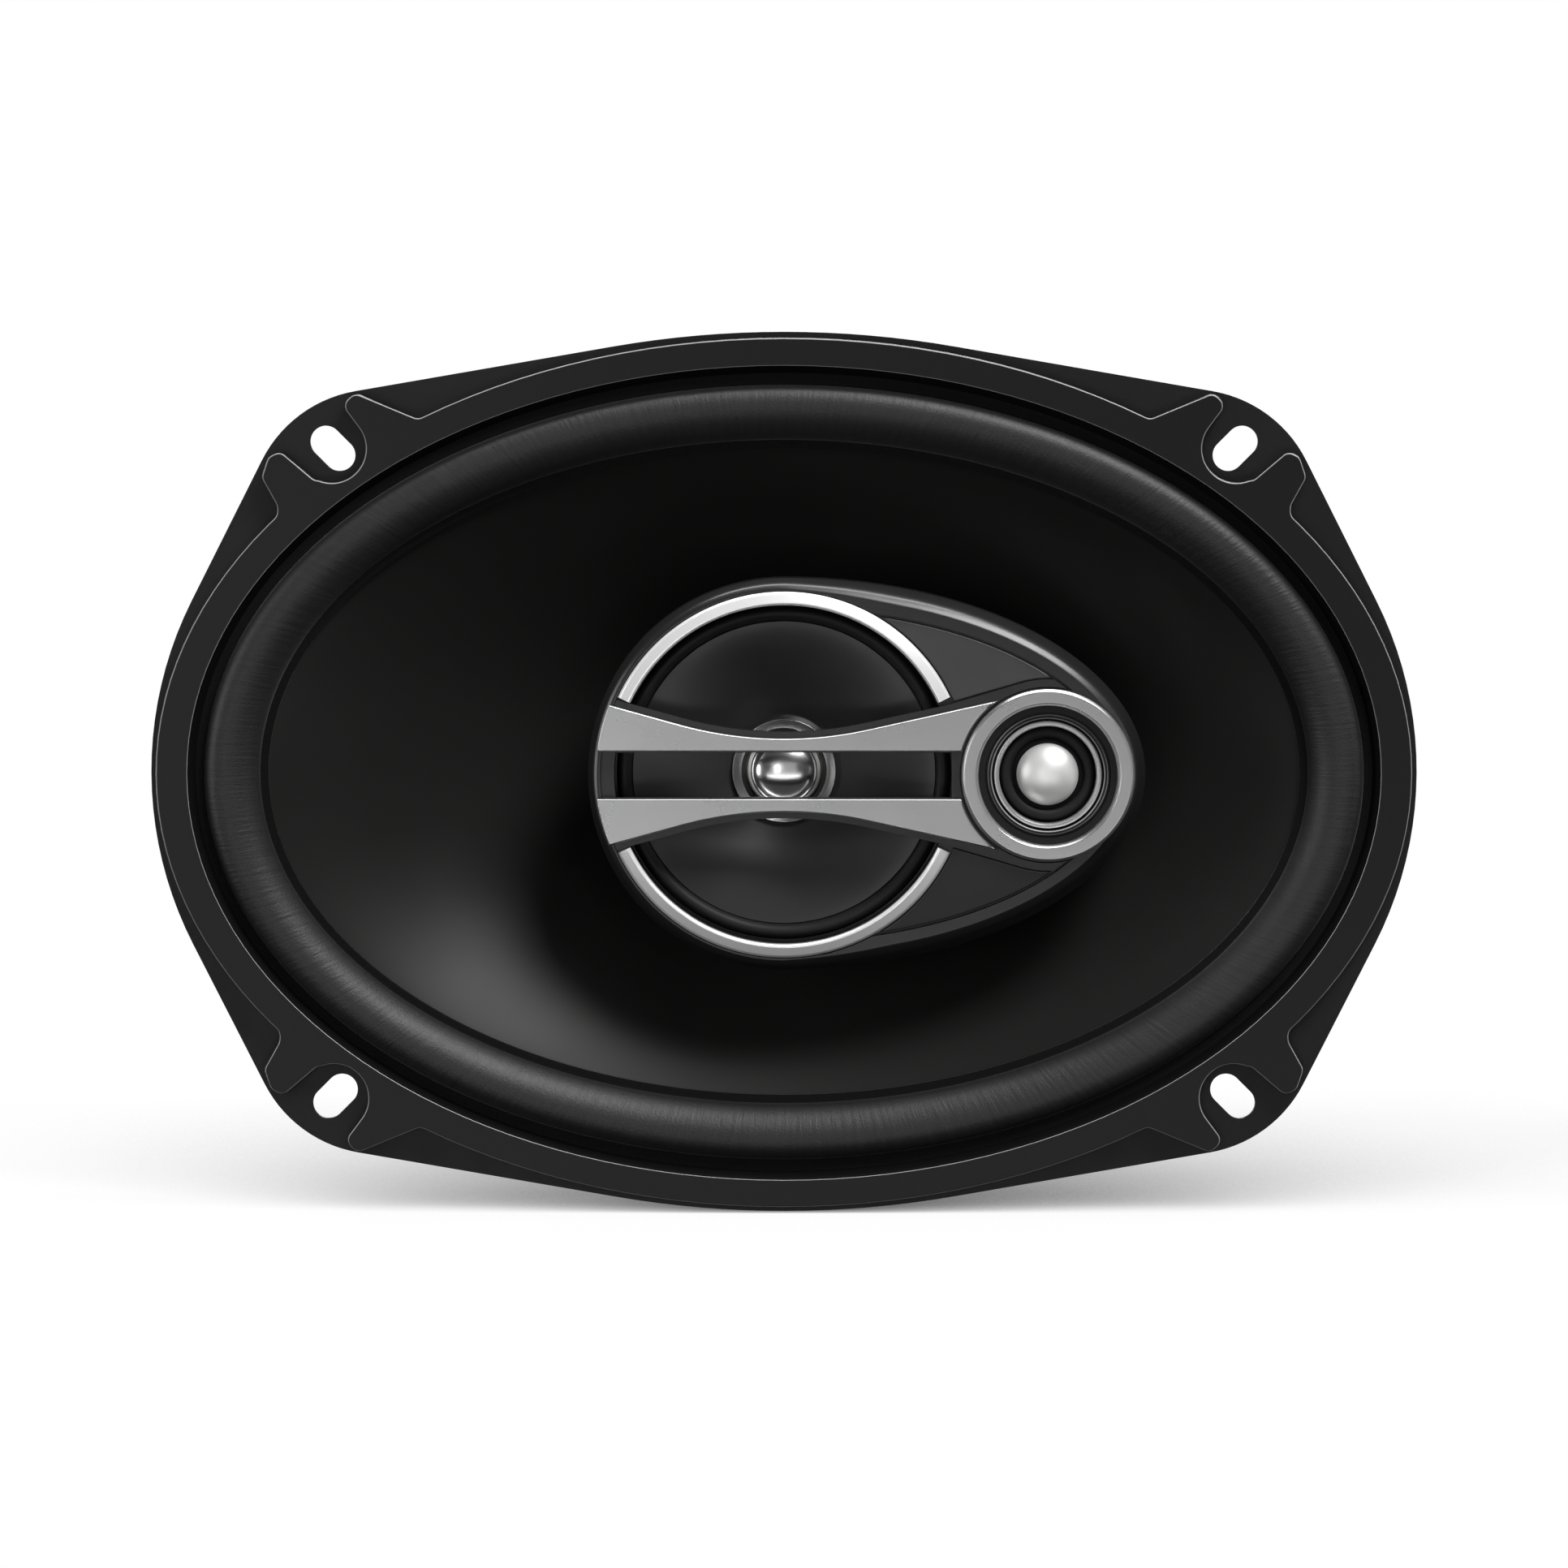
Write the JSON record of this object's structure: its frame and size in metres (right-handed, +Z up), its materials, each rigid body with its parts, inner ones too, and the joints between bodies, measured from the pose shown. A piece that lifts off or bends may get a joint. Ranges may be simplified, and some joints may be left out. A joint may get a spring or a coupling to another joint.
{
  "type": "coaxial car speaker",
  "caption": "Oval 6 x 9 inch three-way coaxial car speaker: steel basket, ribbed magnet motor, oval cone and roll, and an egg-shaped pod with midrange and tweeter.",
  "frame": {"origin": "centre of the mounting plane, which is the rear face of the flange", "axes": "-Y out of the cone towards the listener, +Y into the panel, +Z up along the oval's short side, +X along its long side, towards the tweeter"},
  "size_m": [0.235, 0.0934, 0.1636],
  "materials": {
    "black_steel": "black satin paint",
    "ring_plastic": "black, fine matt texture",
    "roll_rubber": "fine fabric texture, satin",
    "spider_cloth": "resin-stiffened cotton",
    "copper_braid": "tinsel braid",
    "zinc_steel": "zinc plated",
    "ferrite": "ground ceramic magnet",
    "boot_rubber": "matt",
    "board": "laminate board",
    "brass": "plain",
    "capacitor_sleeve": "shrink sleeve",
    "wire_sleeve": "insulation",
    "pod_plastic": "black satin",
    "panel_plastic": "dark grey satin",
    "silver_trim": "satin silver paint",
    "bright_trim": "bright silver paint",
    "chrome_plate": "polished",
    "mid_surround": "matt",
    "cone_poly": "smooth injection-moulded cone",
    "former": "polyimide film",
    "copper_wire": "enamelled copper",
    "dark_former": "varnished winding on a black anodised former",
    "cap_cloth": "treated cloth",
    "mid_cone": "satin",
    "dome_metal": "bright satin"
  },
  "bodies": {
    "chassis": {"basket": "black_steel", "front_gasket": "ring_plastic", "surround": "roll_rubber", "spider": "spider_cloth", "tinsel_leads": "copper_braid", "top_plate": "zinc_steel", "ferrite_magnet": "ferrite", "back_plate": "zinc_steel", "magnet_boot": "boot_rubber", "basket_rivets": "zinc_steel", "centre_post": "zinc_steel", "post_nut": "zinc_steel", "terminal_board": "board", "positive_tab": "brass", "negative_tab": "zinc_steel", "terminal_rivets": "brass", "crossover_capacitor": "capacitor_sleeve", "pod_lead_wires": "wire_sleeve", "pod_back": "pod_plastic", "pod_housing": "pod_plastic", "pod_screws": "zinc_steel", "face_panel_upper": "panel_plastic", "face_panel_lower": "panel_plastic", "bridge": "pod_plastic", "bar_trim_upper": "silver_trim", "bar_trim_lower": "silver_trim", "ring_trim_upper": "bright_trim", "ring_trim_lower": "bright_trim", "midrange_frame": "pod_plastic", "midrange_yoke": "zinc_steel", "midrange_magnet": "ferrite", "midrange_pole_plate": "zinc_steel", "phase_plug": "chrome_plate", "midrange_surround": "mid_surround", "tweeter_cup": "pod_plastic", "tweeter_yoke": "zinc_steel", "tweeter_magnet": "ferrite", "tweeter_pole_plate": "zinc_steel", "tweeter_faceplate": "pod_plastic", "tweeter_accent_ring": "bright_trim", "tweeter_bezel": "silver_trim", "tweeter_surround": "mid_surround", "tweeter_capacitor": "capacitor_sleeve"},
    "woofer": {"woofer_cone": "cone_poly", "voice_coil_former": "former", "voice_coil_winding": "copper_wire", "dust_cap": "cap_cloth", "lead_eyelets": "brass"},
    "midrange": {"midrange_cone": "mid_cone", "midrange_voice_coil": "dark_former", "midrange_neck_ring": "chrome_plate"},
    "tweeter": {"tweeter_dome": "dome_metal", "tweeter_voice_coil": "dark_former"}
  },
  "joints": [
    {"name": "woofer_travel", "type": "slide", "parent": "chassis", "child": "woofer", "axis": [0, -1, 0], "range_m": [-0.005, 0.005], "stiffness_N_per_m": 2600, "deforming": ["surround", "spider", "tinsel_leads"]},
    {"name": "midrange_travel", "type": "slide", "parent": "chassis", "child": "midrange", "axis": [0, -1, 0], "range_m": [-0.0008, 0.0008], "stiffness_N_per_m": 5300, "deforming": ["midrange_surround"]},
    {"name": "tweeter_travel", "type": "slide", "parent": "chassis", "child": "tweeter", "axis": [0, -1, 0], "range_m": [-0.0002, 0.0002], "stiffness_N_per_m": 11000, "deforming": ["tweeter_surround"]}
  ]
}
